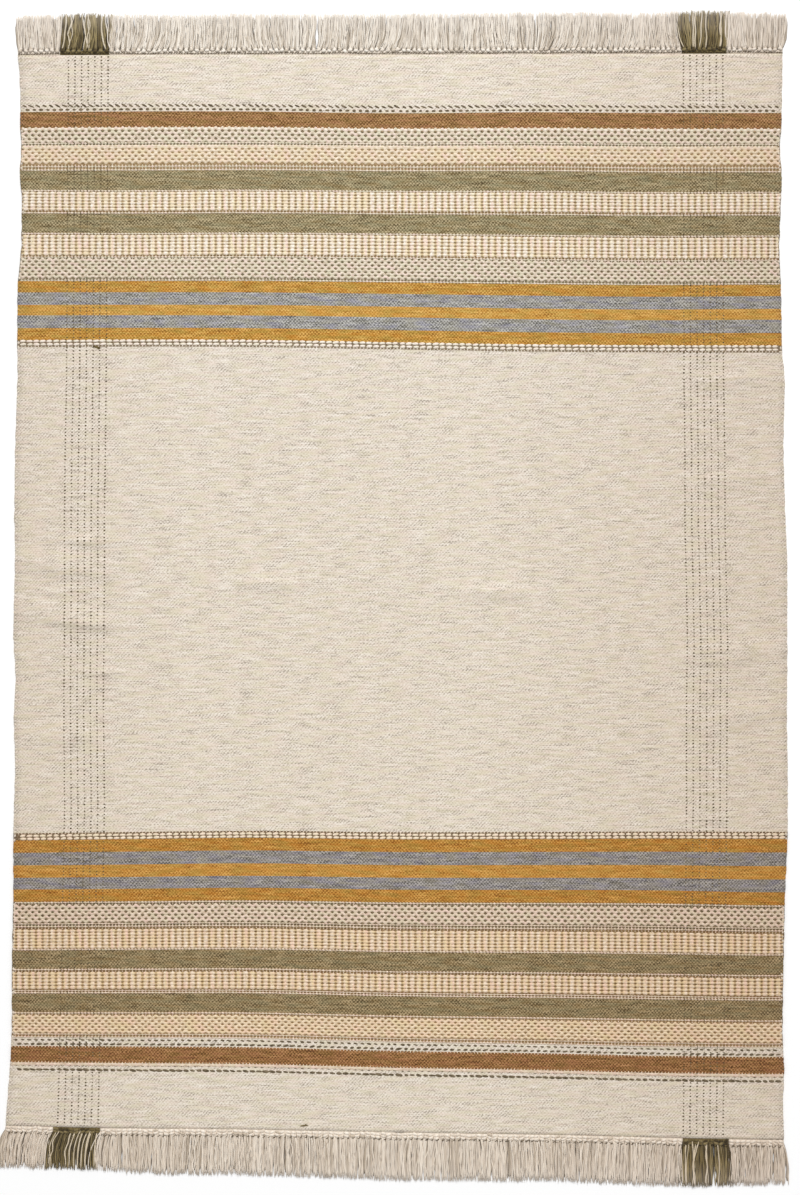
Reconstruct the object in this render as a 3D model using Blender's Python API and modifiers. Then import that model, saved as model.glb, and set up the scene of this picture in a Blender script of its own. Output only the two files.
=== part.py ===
"""A flatwoven cotton kilim, 1.6 m wide, with knotted fringe on both ends, lying on a floor.

The cloth is one thin sheet with its real outline and a few low folds. The fringe is knotted
from the ends of the warp, in ecru and olive groups, and each group is a narrow strip of edge
with its locks of yarn standing out from it. Sizes are in metres and +Z is up. The origin is
under the middle of the whole kilim, on the floor, and +Y runs along its length.
"""

import math
import random

import bmesh
import bpy
import numpy as np

MM = 0.001
CLOTH_THICKNESS = 4.0 * MM
GAP = 0.3 * MM

# The cloth's selvedges. Columns: distance along the length, left edge, right edge, in mm.
SELVEDGES = (
    (1134, -789, 809),
    (1113, -786, 812),
    (1050, -783, 815),
    (988, -784, 811),
    (946, -781, 802),
    (883, -785, 807),
    (841, -780, 805),
    (737, -781, 801),
    (653, -789, 805),
    (528, -790, 807),
    (465, -789, 813),
    (319, -794, 810),
    (172, -796, 814),
    (89, -794, 818),
    (-78, -798, 818),
    (-162, -793, 818),
    (-246, -797, 817),
    (-350, -794, 819),
    (-496, -798, 819),
    (-622, -798, 813),
    (-768, -801, 810),
    (-893, -801, 808),
    (-977, -804, 812),
    (-1040, -809, 809),
    (-1102, -814, 811),
)

# The cloth's two ends, which aren't quite square to its sides.
# Columns: place across the width, the top end, the bottom end, in mm.
ENDS = (
    (-815, 1135, -1100),
    (-617, 1136, -1105),
    (-303, 1137, -1108),
    (10, 1137, -1114),
    (324, 1138, -1119),
    (637, 1139, -1127),
    (813, 1139, -1130),
)

# How far the fringe reaches, in mm. Columns: place across, tips at the top end, tips at the bottom end.
TIPS = (
    (-805, 1218, -1188),
    (-658, 1223, -1192),
    (-491, 1221, -1202),
    (-303, 1223, -1204),
    (10, 1223, -1215),
    (345, 1227, -1217),
    (512, 1224, -1225),
    (648, 1229, -1228),
    (813, 1224, -1224),
)

# Low folds that lift the cloth off the floor. Columns: place across and along the kilim,
# half of the fold's length, half of its width, its turn in degrees, its height, in mm.
FOLDS = (
    (-267, 32, 130, 34, 0, 2.5),
    (209, 12, 140, 36, -2, 3.0),
    (-700, 70, 170, 40, -8, 4.0),
    (-690, -34, 180, 38, -8, 4.0),
    (-705, -285, 130, 34, 4, 2.5),
    (720, 457, 140, 32, 4, 2.5),
    (700, 248, 140, 34, 10, 2.5),
    (715, -107, 160, 38, 3, 4.0),
    (720, -243, 160, 38, 12, 4.0),
    (690, -540, 140, 36, 8, 3.0),
)
CLOTH_COLUMNS = 34
CLOTH_ROWS = 76

# The groups of fringe along each end: name, where the group starts and stops across, in mm,
# how many locks it has, and its colour.
TOP_GROUPS = (
    ("top_fringe_left", -789, -701, 8, "ecru"),
    ("top_fringe_olive_left", -701, -598, 9, "olive"),
    ("top_fringe_middle", -598, 598, 108, "ecru"),
    ("top_fringe_olive_right", 598, 692, 9, "olive"),
    ("top_fringe_right", 692, 809, 11, "ecru"),
)
BOTTOM_GROUPS = (
    ("bottom_fringe_left", -814, -715, 9, "ecru"),
    ("bottom_fringe_olive_left", -715, -617, 9, "olive"),
    ("bottom_fringe_middle", -617, 600, 110, "ecru"),
    ("bottom_fringe_olive_right", 600, 696, 9, "olive"),
    ("bottom_fringe_right", 696, 811, 10, "ecru"),
)
STRIP_DEPTH = 3.0 * MM
STRIP_THICKNESS = 4.0 * MM
ROOT_SHARE = 0.76
TOP_SHARE = 0.62
LOCK_WANDER = 1.3 * MM
TIP_WANDER = 3.5 * MM
CORNER_SPLAY = 10.5 * MM
CORNER_REACH = 90.0 * MM
STRAIGHT_AHEAD = 0.9

# One lock of yarn, from its root outwards. Columns: distance from the root in mm, or a share
# of the lock's length where it is 1 or less, then its width and its height in mm.
LOCK_SECTIONS = (
    (6.0, 9.6, 8.0),
    (14.0, 6.4, 4.6),
    (0.6, 7.6, 5.0),
    (1.0, 5.8, 3.2),
)

COLOURS = {
    "cloth": ((0.768, 0.680, 0.546), 0.92),
    "ecru": ((0.680, 0.603, 0.509), 0.90),
    "olive": ((0.186, 0.150, 0.085), 0.92),
}


def clear_scene():
    for obj in list(bpy.data.objects):
        bpy.data.objects.remove(obj, do_unlink=True)


def read_columns(table):
    """The columns of a table in millimetres, sorted by the first and turned to metres."""
    rows = np.array(sorted(table), dtype=float) * MM
    return rows.T


def left_edge(y):
    along, left, _ = read_columns(SELVEDGES)
    return float(np.interp(y, along, left))


def right_edge(y):
    along, _, right = read_columns(SELVEDGES)
    return float(np.interp(y, along, right))


def end_line(x, side):
    """How far along the kilim the cloth ends, at the top for side 1 or the bottom for side -1."""
    across, top, bottom = read_columns(ENDS)
    return float(np.interp(x, across, top if side > 0 else bottom))


def tip_line(x, side):
    across, top, bottom = read_columns(TIPS)
    return float(np.interp(x, across, top if side > 0 else bottom))


def fold_height(x, y):
    """How far the cloth is lifted off the floor at one place, as the highest fold there."""
    height = 0.0
    for across, along, half_length, half_width, turn, top in FOLDS:
        dx = x - across * MM
        dy = y - along * MM
        angle = math.radians(turn)
        run = dx * math.cos(angle) + dy * math.sin(angle)
        out = dy * math.cos(angle) - dx * math.sin(angle)
        reach = math.hypot(run / (half_length * MM), out / (half_width * MM))
        if reach < 1:
            height = max(height, top * MM * math.cos(reach * math.pi / 2) ** 2)
    return height


def make_material(name):
    colour, roughness = COLOURS[name]
    material = bpy.data.materials.new(name)
    material.use_nodes = True
    shader = material.node_tree.nodes["Principled BSDF"]
    shader.inputs["Base Color"].default_value = (*colour, 1.0)
    shader.inputs["Roughness"].default_value = roughness
    shader.inputs["Metallic"].default_value = 0.0
    return material


def add_object(name, shape, material, collection):
    mesh = bpy.data.meshes.new(name)
    shape.to_mesh(mesh)
    shape.free()
    mesh.materials.append(material)
    obj = bpy.data.objects.new(name, mesh)
    collection.objects.link(obj)
    return obj


def grid_place(vertex, columns, rows):
    """Which column and row of a new two-unit grid a vertex stands in."""
    column = round((vertex.co.x + 1) / 2 * columns)
    row = round((vertex.co.y + 1) / 2 * rows)
    return column, row


def make_cloth(material, collection):
    """The woven sheet: a grid drawn to the outline, lifted in the folds and given its thickness."""
    shape = bmesh.new()
    bmesh.ops.create_grid(shape, x_segments=CLOTH_COLUMNS, y_segments=CLOTH_ROWS, size=1)
    for vertex in shape.verts:
        column, row = grid_place(vertex, CLOTH_COLUMNS, CLOTH_ROWS)
        across = column / CLOTH_COLUMNS
        along = row / CLOTH_ROWS
        level = end_line(0, -1) + (end_line(0, 1) - end_line(0, -1)) * along
        x = left_edge(level) + (right_edge(level) - left_edge(level)) * across
        bottom = end_line(x, -1)
        y = bottom + (end_line(x, 1) - bottom) * along
        vertex.co = (x, y, fold_height(x, y))
    cloth = add_object("woven_cloth", shape, material, collection)
    sheet = cloth.modifiers.new("thickness", "SOLIDIFY")
    sheet.thickness = CLOTH_THICKNESS
    sheet.offset = 1.0
    return cloth


def strip_line(start, stop, locks):
    """Where the front of a strip is divided, so that each lock has a root with a gap beside it."""
    pitch = (stop - start) / locks
    margin = pitch * (1 - ROOT_SHARE) / 2
    places = [start]
    for number in range(locks):
        places.append(start + number * pitch + margin)
        places.append(start + (number + 1) * pitch - margin)
    places.append(stop)
    return places


def grow_lock(shape, root, side, chance):
    """Draws one lock out of its root face, section by section, level on the floor."""
    middle = root.calc_center_median()
    length = abs(tip_line(middle.x, side) - middle.y) + chance.uniform(-TIP_WANDER, TIP_WANDER)
    to_corner = min(middle.x - left_edge(middle.y), right_edge(middle.y) - middle.x)
    splay = CORNER_SPLAY * max(0.0, 1 - to_corner / CORNER_REACH) ** 2
    if middle.x < 0:
        splay = -splay
    face = root
    for distance, width, height in LOCK_SECTIONS:
        out = distance * length if distance <= 1 else distance * MM
        share = out / length
        sway = chance.uniform(-LOCK_WANDER, LOCK_WANDER) * share + splay * share
        face = bmesh.ops.extrude_discrete_faces(shape, faces=[face])["faces"][0]
        centre = face.calc_center_median()
        for vertex in face.verts:
            above = vertex.co.z > centre.z
            half = width * MM / 2 * (TOP_SHARE if above else 1.0)
            vertex.co.x = middle.x + sway + math.copysign(half, vertex.co.x - centre.x)
            vertex.co.y = middle.y + side * out
            vertex.co.z = height * MM if above else 0.0


def make_fringe(name, start, stop, locks, side, material, collection):
    """One group of fringe: a narrow strip along the cloth's end with its locks standing out."""
    places = strip_line(start * MM + GAP / 2, stop * MM - GAP / 2, locks)
    columns = len(places) - 1
    shape = bmesh.new()
    bmesh.ops.create_grid(shape, x_segments=columns, y_segments=1, size=1)
    for vertex in shape.verts:
        column, row = grid_place(vertex, columns, 1)
        x = places[column]
        near = GAP if row == (0 if side > 0 else 1) else GAP + STRIP_DEPTH
        vertex.co = (x, end_line(x, side) + side * near, 0)
    raised = bmesh.ops.extrude_face_region(shape, geom=shape.faces[:])["geom"]
    for part in raised:
        if isinstance(part, bmesh.types.BMVert):
            part.co.z = STRIP_THICKNESS
    bmesh.ops.recalc_face_normals(shape, faces=shape.faces[:])
    front = [face for face in shape.faces if face.normal.y * side > STRAIGHT_AHEAD]
    front.sort(key=lambda face: face.calc_center_median().x)
    chance = random.Random(name)
    for root in front[1::2]:
        grow_lock(shape, root, side, chance)
    bmesh.ops.recalc_face_normals(shape, faces=shape.faces[:])
    return add_object(name, shape, material, collection)


def main():
    clear_scene()
    collection = bpy.data.collections.new("cotton_kilim")
    bpy.context.scene.collection.children.link(collection)
    materials = {name: make_material(name) for name in COLOURS}
    make_cloth(materials["cloth"], collection)
    for side, groups in ((1, TOP_GROUPS), (-1, BOTTOM_GROUPS)):
        for name, start, stop, locks, colour in groups:
            make_fringe(name, start, stop, locks, side, materials[colour], collection)


main()
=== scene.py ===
"""The looks of a flatwoven cotton kilim that lies flat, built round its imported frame."""

import math

import bpy
import numpy as np
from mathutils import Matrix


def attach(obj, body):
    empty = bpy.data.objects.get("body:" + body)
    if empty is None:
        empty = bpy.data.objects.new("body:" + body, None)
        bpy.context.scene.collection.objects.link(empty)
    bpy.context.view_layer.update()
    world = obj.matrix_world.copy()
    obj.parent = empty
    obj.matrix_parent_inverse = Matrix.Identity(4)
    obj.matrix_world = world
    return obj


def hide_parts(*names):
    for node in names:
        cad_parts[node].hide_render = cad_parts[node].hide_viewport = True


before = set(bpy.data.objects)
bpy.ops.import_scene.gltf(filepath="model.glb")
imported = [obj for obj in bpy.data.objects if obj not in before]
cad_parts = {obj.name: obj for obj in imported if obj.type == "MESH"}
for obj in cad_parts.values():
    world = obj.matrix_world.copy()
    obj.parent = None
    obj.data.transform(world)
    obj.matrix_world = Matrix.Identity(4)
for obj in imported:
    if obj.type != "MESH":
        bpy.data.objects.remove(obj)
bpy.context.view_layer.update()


# The woven cloth
# A kilim is one sheet of cotton, with thick weft beaten down over thinner warp in a four-end
# twill, so that only the weft shows. The stripes are weft of another dye, woven in as the work
# goes on, and they lean and wander a little as the weaver beats them down unevenly.
MM = 0.001
FULL_TURN = 2 * math.pi
THICKNESS = 4.0 * MM
RIPPLE = 0.5 * MM
WARP_SPACING = 1.75 * MM
PICK_SPACING = 1.87 * MM
TWILL_WIDTH = 4 * WARP_SPACING
TWILL_HEIGHT = 4 * PICK_SPACING

# The selvedges. Columns: place along the kilim, left edge, right edge, in mm.
SELVEDGES = (
    (1134, -789, 808), (1113, -786, 808), (1050, -783, 807), (988, -784, 806),
    (946, -781, 802), (883, -785, 807), (841, -780, 805), (737, -781, 801),
    (653, -789, 805), (528, -790, 807), (465, -789, 813), (319, -794, 810),
    (172, -796, 814), (89, -794, 818), (-78, -798, 818), (-162, -793, 818),
    (-246, -797, 817), (-350, -794, 819), (-496, -798, 819), (-622, -798, 813),
    (-768, -801, 810), (-893, -801, 808), (-977, -804, 812), (-1040, -809, 809),
    (-1102, -814, 811),
)

# The two ends, which aren't square to the sides. Columns: place across, top end, bottom end.
ENDS = (
    (-815, 1135, -1100), (-617, 1136, -1105), (-303, 1137, -1108), (10, 1137, -1114),
    (324, 1138, -1119), (637, 1139, -1127), (813, 1139, -1130),
)
TOP_END = 1137
BOTTOM_END = -1114

# How far the weft strays from straight, in mm. The first column is its place along the kilim
# at the middle, and the others say how much higher it lies at the places in LEAN_PLACES.
LEAN_PLACES = (-763, -543, -330, 10, 300, 540, 746)
LEANS = (
    (1015, 1.0, 2.5, 2.5, -1.5, 0.5, -1.0, -1.0),
    (945, -1.0, 0.5, 1.0, -1.5, -1.0, -3.0, -2.5),
    (875, 0.0, 0.0, 1.0, -1.5, -1.0, -4.0, -4.0),
    (830, 1.5, 0.5, 1.5, -1.0, -1.5, -3.5, -2.5),
    (740, 0.5, 0.5, 1.5, -1.0, -4.0, -6.0, -5.5),
    (600, 3.0, 3.5, 3.0, -1.0, -5.0, -7.0, -5.5),
    (525, 4.5, 5.5, 5.0, -0.5, -5.0, -6.5, -7.0),
    (200, 1.0, 2.5, 3.0, 0.0, -1.5, -2.0, -2.0),
    (-500, -2.0, 0.5, 3.0, 0.0, 0.5, 1.5, 1.0),
    (-610, 0.5, 2.0, 4.0, 0.0, -0.5, -1.5, -5.5),
    (-750, 4.5, 5.5, 6.5, 0.5, -1.5, -4.0, -7.0),
    (-865, 7.5, 7.5, 7.5, 0.5, -3.0, -6.5, -9.0),
    (-960, 11.0, 9.5, 8.0, -0.5, -5.5, -11.0, -13.5),
)

# Low folds where the cloth lifts off the floor, and sharper creases pressed into it.
# Columns: place across, place along, half length, half width, turn in degrees, height, in mm.
FOLDS = (
    (-267, 32, 130, 34, 0, 2.5), (209, 12, 140, 36, -2, 3.0), (-700, 70, 170, 40, -8, 4.0),
    (-690, -34, 180, 38, -8, 4.0), (-705, -285, 130, 34, 4, 2.5), (720, 457, 140, 32, 4, 2.5),
    (700, 248, 140, 34, 10, 2.5), (715, -107, 160, 38, 3, 4.0), (720, -243, 160, 38, 12, 4.0),
    (690, -540, 140, 36, 8, 3.0),
)
CREASES = (
    (-263, 33, 95, 13, 0, 1.9), (205, 16, 125, 13, -1, 2.0), (230, -11, 70, 16, 2, -1.5),
    (310, -243, 60, 14, 2, 1.1), (-650, -52, 115, 16, -5, 4.3), (-690, 14, 80, 13, -4, 1.6),
    (-640, 121, 90, 16, -3, 4.5), (-662, 40, 60, 14, 3, -1.2), (-615, -153, 75, 14, 2, 3.1),
    (-650, -293, 70, 14, 4, 1.8), (700, 461, 95, 11, 5, 1.8), (655, 250, 60, 12, 14, 1.8),
    (690, -132, 90, 13, 3, 2.1), (668, -278, 60, 13, 14, 1.8), (676, -462, 70, 13, 3, 1.7),
    (-420, -690, 120, 22, 2, 0.9), (520, -760, 130, 24, -3, 0.9), (400, 560, 110, 22, 1, 0.8),
    (-300, 620, 130, 22, -2, 0.8),
)
# The kilim was stored folded once along its length, and this is the line that it keeps.
CENTRE_FOLD = 8 * MM
CENTRE_FOLD_REACH = 17 * MM
CENTRE_FOLD_HEIGHT = 1.9 * MM

# Each band of weft, from the top end down: where it starts along the kilim, in mm, and its yarn.
BANDS = (
    (1137, "ecru"), (1016, "brown"), (978, "grey_green"), (948, "tan"), (894, "olive"),
    (854, "orange"), (803.5, "olive"), (764.5, "orange"), (712, "grey_green"),
    (662, "mustard"), (638, "blue"), (611.5, "pale_mustard"), (589, "blue"), (562, "mustard"),
    (536.5, "taupe"), (521.5, "ecru"), (-487, "taupe"), (-502, "mustard"), (-528.5, "blue"),
    (-555.5, "pale_mustard"), (-582, "blue"), (-607, "mustard"), (-633.5, "grey_green"),
    (-686, "orange"), (-738.5, "olive"), (-777, "orange"), (-831, "olive"), (-869.5, "tan"),
    (-925, "ecru"), (-943.5, "brown"), (-979, "ecru"),
)
ROW_STEP = 6.4
COLUMN_STEP = 17.5
FINE_COLUMN_STEP = 5.0
FINE_COLUMNS_REACH = 40
WOBBLE = 0.8 * MM
WOBBLE_LENGTHS = (6.3 * MM, 47 * MM)
# How far the bake's map stays inside its picture.
MAP_MARGIN = 0.002


def columns_of(table):
    """The columns of a table in millimetres, sorted by the first and turned to metres."""
    return np.array(sorted(table), dtype=float).T * MM


def smooth_line(place, places, heights):
    """A smooth line through a few points, read at many places."""
    slopes = np.gradient(heights, places)
    first = np.clip(np.searchsorted(places, place) - 1, 0, len(places) - 2)
    span = places[first + 1] - places[first]
    share = np.clip((place - places[first]) / span, 0, 1)
    square, cube = share ** 2, share ** 3
    return (
        (2 * cube - 3 * square + 1) * heights[first]
        + (cube - 2 * square + share) * span * slopes[first]
        + (3 * square - 2 * cube) * heights[first + 1]
        + (cube - square) * span * slopes[first + 1]
    )


def read_line(table, place, column):
    """One column of a table, read between its rows by their first column."""
    columns = columns_of(table)
    return np.interp(place, columns[0], columns[column])


def left_edge(y):
    return read_line(SELVEDGES, y, 1)


def right_edge(y):
    return read_line(SELVEDGES, y, 2)


def end_line(x, side):
    """How far along the kilim the cloth ends, at the top for side 1 or the bottom for side -1."""
    return read_line(ENDS, x, 1 if side > 0 else 2)


def weft_line(x, level):
    """Where a pick of weft lies at x, if it crosses the middle of the kilim at that level."""
    x, level = np.broadcast_arrays(np.asarray(x, float), np.asarray(level, float))
    places = np.array(LEAN_PLACES) * MM
    rows = [(TOP_END * MM, end_line(places, 1) - TOP_END * MM)]
    rows += [(row[0] * MM, np.array(row[1:]) * MM) for row in LEANS]
    rows += [(BOTTOM_END * MM, end_line(places, -1) - BOTTOM_END * MM)]
    rows.sort(key=lambda row: row[0])
    levels = np.array([row[0] for row in rows])
    strays = np.array([smooth_line(x, places, row[1]) for row in rows])
    first = np.clip(np.searchsorted(levels, level) - 1, 0, len(levels) - 2)
    share = np.clip((level - levels[first]) / (levels[first + 1] - levels[first]), 0, 1)
    low = np.take_along_axis(strays, first[None], 0)[0]
    high = np.take_along_axis(strays, first[None] + 1, 0)[0]
    return level + low + (high - low) * share


def hump(x, y, row):
    """One fold's or crease's height at many places, highest along its middle."""
    across, along, half_length, half_width, turn, height = row
    dx = x - across * MM
    dy = y - along * MM
    angle = math.radians(turn)
    run = dx * math.cos(angle) + dy * math.sin(angle)
    out = dy * math.cos(angle) - dx * math.sin(angle)
    reach = np.hypot(run / (half_length * MM), out / (half_width * MM))
    return np.where(reach < 1, height * MM * np.cos(np.minimum(reach, 1) * math.pi / 2) ** 2, 0)


def ripple(x, y):
    """The slight unevenness of cloth that has been folded away and laid out again."""
    waves = (
        np.sin(x * 9.1 + 2.3 * np.sin(y * 3.1) + 0.4)
        + np.sin(y * 17.3 + 1.7 * np.sin(x * 4.3) + 1.9)
        + 0.7 * np.sin(y * 41.0 + 2.1 * np.sin(x * 7.7 + 1.0))
        + 0.5 * np.sin(x * 23.0 + y * 13.0 + 2.0 * np.sin(y * 9.0))
    )
    return RIPPLE * (1 + waves / 3.2) / 2


def floor_gap(x, y):
    """How far the cloth's underside is off the floor."""
    x, y = np.broadcast_arrays(np.asarray(x, float), np.asarray(y, float))
    height = np.zeros(x.shape)
    for row in FOLDS:
        height = np.maximum(height, hump(x, y, row))
    for row in CREASES:
        height = height + hump(x, y, row)
    reach = np.abs(x - CENTRE_FOLD) / CENTRE_FOLD_REACH
    fold = np.where(reach < 1, np.cos(np.minimum(reach, 1) * math.pi / 2) ** 2, 0)
    return np.maximum(height + CENTRE_FOLD_HEIGHT * fold + ripple(x, y), 0)


def cloth_top(x, y):
    return floor_gap(x, y) + THICKNESS


def strip_faces(rows, corners, closed=False):
    """The four-sided faces between rows of points, with a number of corners in each row."""
    first = np.arange(rows - 1)[:, None] * corners
    corner = np.arange(corners if closed else corners - 1)
    beside = (corner + 1) % corners
    return np.stack([
        first + corner, first + corners + corner, first + corners + beside, first + beside,
    ], axis=-1).reshape(-1, 4)


def make_mesh(name, points, faces, materials, face_materials=None):
    """One piece from its points and faces, linked to the scene."""
    mesh = bpy.data.meshes.new(name)
    mesh.from_pydata(np.asarray(points).reshape(-1, 3).tolist(), [], faces)
    for material in materials:
        mesh.materials.append(material)
    if face_materials is not None:
        mesh.polygons.foreach_set("material_index", np.asarray(face_materials, np.int32))
    mesh.polygons.foreach_set("use_smooth", [True] * len(mesh.polygons))
    mesh.update()
    piece = bpy.data.objects.new(name, mesh)
    bpy.context.scene.collection.objects.link(piece)
    return piece


def linear(hex_colour):
    """An sRGB hex colour as linear red, green, blue and alpha."""
    channels = [int(hex_colour[place:place + 2], 16) / 255 for place in (0, 2, 4)]
    return (*((c / 12.92 if c <= 0.04045 else ((c + 0.055) / 1.055) ** 2.4) for c in channels), 1.0)


def add_node(material, kind, settings, inputs, output=0):
    """Adds one shader node, sets it, and gives each input its value or its link."""
    node = material.node_tree.nodes.new("ShaderNode" + kind)
    for name, value in settings.items():
        setattr(node, name, value)
    for socket, value in inputs.items():
        if isinstance(value, bpy.types.NodeSocket):
            material.node_tree.links.new(value, node.inputs[socket])
        else:
            node.inputs[socket].default_value = value
    return node.outputs[output]


def weighted_sum(material, start, *terms):
    """A number, plus each value times its weight."""
    total = start
    for value, weight in terms:
        total = add_node(material, "Math", {"operation": "MULTIPLY_ADD"}, {0: value, 1: weight, 2: total})
    return total


def wave(material, *terms):
    """The cosine of a sum of values, each times its weight."""
    return add_node(
        material, "Math", {"operation": "COSINE"}, {0: weighted_sum(material, 0.0, *terms)}
    )


def uneven(material, place, across, along, detail=1.0, shift=0.0):
    """Noise around 0.5, in patches of a size in mm across the kilim and along it."""
    scale = (1 / (across * MM), 1 / (along * MM), 1.0)
    stretched = add_node(
        material, "Mapping", {}, {"Vector": place, "Scale": scale, "Location": (shift, shift, 0.0)}
    )
    return add_node(material, "TexNoise", {}, {"Vector": stretched, "Scale": 1.0, "Detail": detail})


TINT_REACH = (0.46, 0.64)


def tinted(material, place, colour, tint, share, size, shift):
    """A colour with patches of a tint. The size of a patch is in mm across and along."""
    patches = uneven(material, place, *size, 2.0, shift)
    patches = add_node(
        material, "MapRange", {},
        {"Value": patches, "From Min": TINT_REACH[0], "From Max": TINT_REACH[1], "To Max": share},
    )
    return add_node(
        material, "Mix", {"data_type": "RGBA"}, {0: patches, 6: colour, 7: linear(tint)}, 2
    )


def toned(material, place, shades, size, reach, detail=2.0):
    """A colour that drifts from a dark to a light shade, over the part of the noise in reach.
    The size of a patch is in mm across and along."""
    tone = uneven(material, place, *size, detail)
    tone = add_node(
        material, "MapRange", {}, {"Value": tone, "From Min": reach[0], "From Max": reach[1]}
    )
    dark, light = (linear(shade) for shade in shades)
    return add_node(material, "Mix", {"data_type": "RGBA"}, {0: tone, 6: dark, 7: light}, 2)


def new_material(name, roughness, sheen):
    material = bpy.data.materials.new(name)
    material.use_nodes = True
    shader = material.node_tree.nodes["Principled BSDF"]
    shader.inputs["Roughness"].default_value = roughness
    shader.inputs["Specular IOR Level"].default_value = 0.25
    shader.inputs["Sheen Weight"].default_value = sheen
    shader.inputs["Sheen Roughness"].default_value = 0.6
    place = add_node(material, "TexCoord", {}, {}, 3)
    return material, shader, place


def surfaced(material, shader, colour, relief=None, depth=0.0):
    """Gives the shader its colour, and its relief as a bump of a depth in mm."""
    links = material.node_tree.links
    links.new(colour, shader.inputs["Base Color"])
    if relief:
        bump = add_node(
            material, "Bump", {}, {"Height": relief, "Distance": depth * MM, "Strength": 0.6}
        )
        links.new(bump, shader.inputs["Normal"])
    return material


# The cloth is a little darker towards both selvedges, more so at the right, as painted shade,
# and it is darker at the bottom.
# Distances in metres from its middle.
PAINTED_EDGE_SHADE = "F1EDEA"
EDGE_SHIFT = 0.14
EDGE_REACH = (0.30, 0.92)
BOTTOM_REACH = 0.45


def deepened(material, place, colour, bottom_tint):
    """A colour with painted shade near both selvedges, which takes on a tint towards the bottom end."""
    x, y, _ = add_node(material, "SeparateXYZ", {}, {"Vector": place}).node.outputs
    out = add_node(
        material, "Math", {"operation": "ABSOLUTE"}, {0: weighted_sum(material, EDGE_SHIFT, (x, 1.0))}
    )
    edge = add_node(
        material, "MapRange", {}, {"Value": out, "From Min": EDGE_REACH[0], "From Max": EDGE_REACH[1]}
    )
    bottom = add_node(
        material, "MapRange", {}, {"Value": y, "From Min": BOTTOM_REACH, "From Max": -BOTTOM_REACH}
    )
    for share, tint in ((edge, PAINTED_EDGE_SHADE), (bottom, bottom_tint)):
        colour = add_node(
            material, "Mix", {"data_type": "RGBA", "blend_type": "MULTIPLY"},
            {0: share, 6: colour, 7: linear(tint)}, 2,
        )
    return colour


# Weft-faced cotton twill gives the eye a matt cloth with fine slanting lines of dots, where each
# pick dips under one warp in four, and soft streaks where the handspun yarn is thick or thin.
# The dye sits unevenly, so a stripe drifts between three tints of its colour.
TINT_PATCH = (45, 9)
TINT_SHARE = 0.4
# How the yarn varies: where the twill is clear, how it wanders, thick and thin places, blotches,
# stitches that are each a little different, and picks that are darker or lighter than the rest.
# Columns: size of the patches in mm across and along, the noise's detail and its shift.
PATCHES = {
    "clear": (40, 18, 1.0, 0.0), "wander": (14, 9, 1.0, 0.9), "slubs": (42, 5.5, 2.0, 0.0),
    "blotches": (24, 7, 1.0, 0.45), "stitches": (4.5, 2.6, 1.0, 0.3),
    "picks": (60, 2.2, 1.0, 0.6),
}
# How strongly each of them and the twill's diagonals change the shade.
PATCH_WEIGHTS = {"slubs": 0.8, "stitches": 1.6, "picks": 1.1}
TWILL_WEIGHT = 0.31
TWILL_WANDER = 5.0


def woven_cotton(name, shades, tints, checks, contrast, bottom_tint):
    """One weft yarn. Its shades are the dark, middle and light ones of its stitches."""
    material, shader, place = new_material(name, roughness=0.92, sheen=0.12)
    x, y, _ = add_node(material, "SeparateXYZ", {}, {"Vector": place}).node.outputs
    patches = {kind: uneven(material, place, *row) for kind, row in PATCHES.items()}
    # The diagonals wander, because the warps aren't evenly spaced.
    wander = (patches["wander"], TWILL_WANDER)
    rising, falling = (
        wave(material, (x, FULL_TURN / TWILL_WIDTH), (y, lean * FULL_TURN / TWILL_HEIGHT), wander)
        for lean in (-1, 1)
    )
    # Patches where the twill shows clearly, and others where it is blurred. In the stripes the
    # diagonals of both ways cross and make small checks.
    clear = add_node(
        material, "MapRange", {},
        {"Value": patches["clear"], "From Min": 0.42, "From Max": 0.62, "To Min": 0.12},
    )
    rising = add_node(
        material, "Math", {"operation": "MULTIPLY"},
        {0: rising, 1: weighted_sum(material, checks, (clear, 1 - checks))},
    )
    twill = weighted_sum(material, 0.0, (rising, 1.0), (falling, checks))
    # The stripes have the larger blotches.
    weights = {**PATCH_WEIGHTS, "blotches": 0.35 + 0.75 * checks}
    middle_level = 0.5 - contrast * sum(weights.values()) / 2
    level = weighted_sum(
        material, middle_level, (twill, TWILL_WEIGHT * contrast),
        *((patches[kind], weight * contrast) for kind, weight in weights.items()),
    )
    ramp = add_node(material, "ValToRGB", {}, {"Fac": level})
    dark, middle, light = (linear(shade) for shade in shades)
    ramp.node.color_ramp.elements[0].color = dark
    ramp.node.color_ramp.elements[1].color = light
    ramp.node.color_ramp.elements.new(0.5).color = middle
    colour = tinted(material, place, ramp, tints[0], TINT_SHARE, TINT_PATCH, 0.2)
    colour = tinted(material, place, colour, tints[1], TINT_SHARE, TINT_PATCH, 0.7)
    colour = deepened(material, place, colour, bottom_tint)
    ridges = wave(material, (y, FULL_TURN / PICK_SPACING))
    relief = weighted_sum(material, 0.0, (twill, 0.5), (ridges, 0.3), (patches["slubs"], 1.2))
    return surfaced(material, shader, colour, relief, 0.4)


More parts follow.
